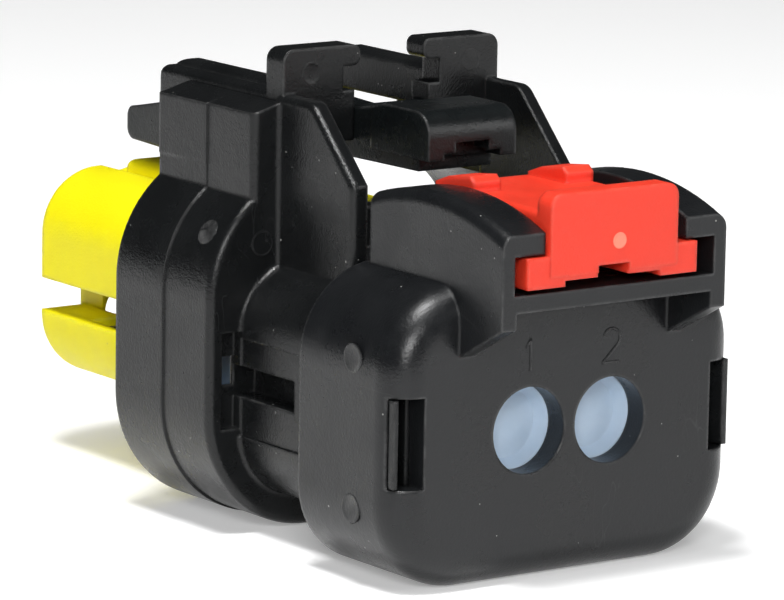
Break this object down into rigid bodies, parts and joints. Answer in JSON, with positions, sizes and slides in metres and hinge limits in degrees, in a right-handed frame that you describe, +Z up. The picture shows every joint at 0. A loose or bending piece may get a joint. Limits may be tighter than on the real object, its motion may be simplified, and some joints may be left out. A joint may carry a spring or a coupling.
{
  "type": "sealed automotive connector",
  "caption": "Sealed plug connector with rear wire seal, latch lever, sliding position lock and a wedge lock on the nose.",
  "frame": {"origin": "centre of the bottom of the bounding box, on the surface the plug lies on", "axes": "+X across the plug, +Y along the mating direction towards the nose, +Z up towards the latch"},
  "size_m": [0.0268, 0.0512, 0.0298],
  "materials": {
    "housing_black": "satin moulded",
    "cap_black": "satin moulded",
    "latch_black": "satin moulded",
    "seal_grey": "matte silicone",
    "seal_blue": "matte silicone",
    "lock_red": "satin moulded",
    "wedge_yellow": "satin moulded"
  },
  "bodies": {
    "shell": {"housing": "housing_black", "rear_cap": "cap_black", "wire_seal": "seal_grey", "ring_seal": "seal_blue"},
    "latch": {"latch_lever": "latch_black"},
    "lock": {"position_lock": "lock_red"},
    "wedge": {"wedge_lock": "wedge_yellow"}
  },
  "joints": [
    {"name": "latch_press", "type": "hinge", "parent": "shell", "child": "latch", "pos_m": [0, -0.00155, 0.0252], "axis": [1, 0, 0], "range_deg": [0, 6], "stiffness_Nm_per_rad": 0.6, "springref_deg": -1.72},
    {"name": "lock_slide", "type": "slide", "parent": "shell", "child": "lock", "axis": [0, 1, 0], "range_m": [0, 0.0026]},
    {"name": "wedge_slide", "type": "slide", "parent": "shell", "child": "wedge", "axis": [0, -1, 0], "range_m": [0, 0.0022]}
  ]
}
